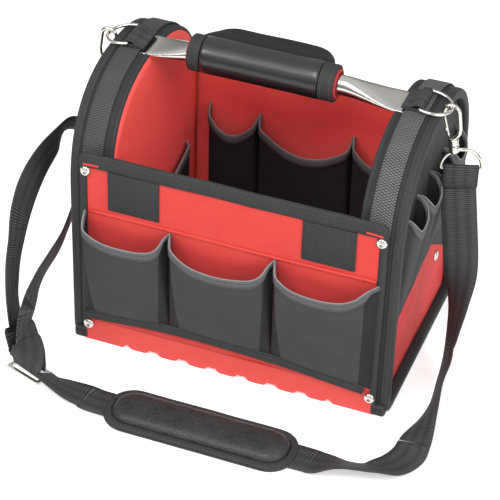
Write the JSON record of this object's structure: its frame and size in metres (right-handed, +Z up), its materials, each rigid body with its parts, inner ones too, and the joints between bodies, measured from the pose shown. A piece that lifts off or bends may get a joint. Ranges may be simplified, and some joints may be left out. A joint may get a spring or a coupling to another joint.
{
  "type": "open tool bag",
  "caption": "Open-top tool bag with arched padded ends, a carrying bar with a padded grip, rows of pockets and a shoulder strap on snap hooks.",
  "frame": {"origin": "centre of the base on the surface the bag stands on, at the middle rib", "axes": "+Z up, front panel towards -Y, ends towards -X and +X"},
  "size_m": [0.5109, 0.4319, 0.36],
  "materials": {
    "red_fabric": "coarse woven",
    "black_fabric": "woven tape and padding",
    "pocket_fabric": "woven",
    "webbing": "ribbed webbing",
    "wrap": "soft grained",
    "red_plastic": "moulded",
    "chrome": "polished"
  },
  "bodies": {
    "bag": {"base_tray": "red_plastic", "base_board": "black_fabric", "front_panel": "red_fabric", "back_panel": "red_fabric", "top_binding_front": "black_fabric", "top_binding_back": "black_fabric", "pocket_strip_front": "webbing", "pocket_strip_back": "webbing", "loop_patch_left": "black_fabric", "loop_patch_right": "black_fabric", "arch_band_left": "black_fabric", "end_inner_panel_left": "red_fabric", "end_outer_panel_left": "red_fabric", "band_webbing_left": "webbing", "ring_keeper_left": "webbing", "arch_band_right": "black_fabric", "end_inner_panel_right": "red_fabric", "end_outer_panel_right": "red_fabric", "band_webbing_right": "webbing", "ring_keeper_right": "webbing", "handle_bar": "chrome", "grip_sleeve": "wrap", "pocket_front_left": "pocket_fabric", "pocket_front_middle": "pocket_fabric", "pocket_front_right": "pocket_fabric", "pocket_back_left": "pocket_fabric", "pocket_back_middle": "pocket_fabric", "pocket_back_right": "pocket_fabric", "pocket_inside_back_left": "pocket_fabric", "pocket_inside_back_middle": "pocket_fabric", "pocket_inside_back_right": "pocket_fabric", "pocket_inside_left": "pocket_fabric", "pocket_inside_right": "pocket_fabric", "end_pockets_left": "pocket_fabric", "end_pockets_right": "pocket_fabric", "rivet_front_upper_left": "chrome", "rivet_front_upper_right": "chrome", "rivet_front_lower_left": "chrome", "rivet_front_lower_right": "chrome", "rivet_back_upper_left": "chrome", "rivet_back_upper_right": "chrome", "rivet_end_left": "chrome", "rivet_end_right": "chrome", "strap_right_drop": "webbing", "strap_front": "webbing", "strap_left_outer": "webbing", "strap_left_inner": "webbing"},
    "ring_left": {"d_ring_left": "chrome", "swivel_eye_left": "chrome", "strap_end_left": "webbing"},
    "hook_left": {"hook_left": "chrome"},
    "gate_left": {"gate_left": "chrome"},
    "ring_right": {"d_ring_right": "chrome", "swivel_eye_right": "chrome", "strap_end_right": "webbing"},
    "hook_right": {"hook_right": "chrome"},
    "gate_right": {"gate_right": "chrome"},
    "slider": {"slider": "chrome"},
    "pad": {"shoulder_pad": "wrap"}
  },
  "joints": [
    {"name": "ring_lift_left", "type": "hinge", "parent": "bag", "child": "ring_left", "pos_m": [-0.172, 0, 0.3435], "axis": [0, 1, 0], "range_deg": [0, 15], "deforming": ["strap_left_outer", "strap_left_inner"]},
    {"name": "hook_turn_left", "type": "hinge", "parent": "ring_left", "child": "hook_left", "pos_m": [-0.20788, 0, 0.30235], "axis": [0.1392, 0, 0.9903], "range_deg": [-10, 10]},
    {"name": "gate_open_left", "type": "hinge", "parent": "hook_left", "child": "gate_left", "pos_m": [-0.203, 0, 0.30328], "axis": [0, -1, 0], "range_deg": [0, 20], "stiffness_Nm_per_rad": 0.01, "springref_deg": -17.19},
    {"name": "ring_lift_right", "type": "hinge", "parent": "bag", "child": "ring_right", "pos_m": [0.172, 0, 0.3435], "axis": [0, -1, 0], "range_deg": [0, 15], "deforming": ["strap_right_drop"]},
    {"name": "hook_turn_right", "type": "hinge", "parent": "ring_right", "child": "hook_right", "pos_m": [0.20788, 0, 0.30235], "axis": [-0.1392, 0, 0.9903], "range_deg": [-10, 10]},
    {"name": "gate_open_right", "type": "hinge", "parent": "hook_right", "child": "gate_right", "pos_m": [0.203, 0, 0.30328], "axis": [0, 1, 0], "range_deg": [0, 20], "stiffness_Nm_per_rad": 0.01, "springref_deg": -17.19},
    {"name": "slider_slide", "type": "slide", "parent": "bag", "child": "slider", "axis": [-0.08, 0, 0.9968], "range_m": [0, 0.01]},
    {"name": "pad_slide", "type": "slide", "parent": "bag", "child": "pad", "axis": [1, 0, 0], "range_m": [-0.008, 0.006]}
  ]
}
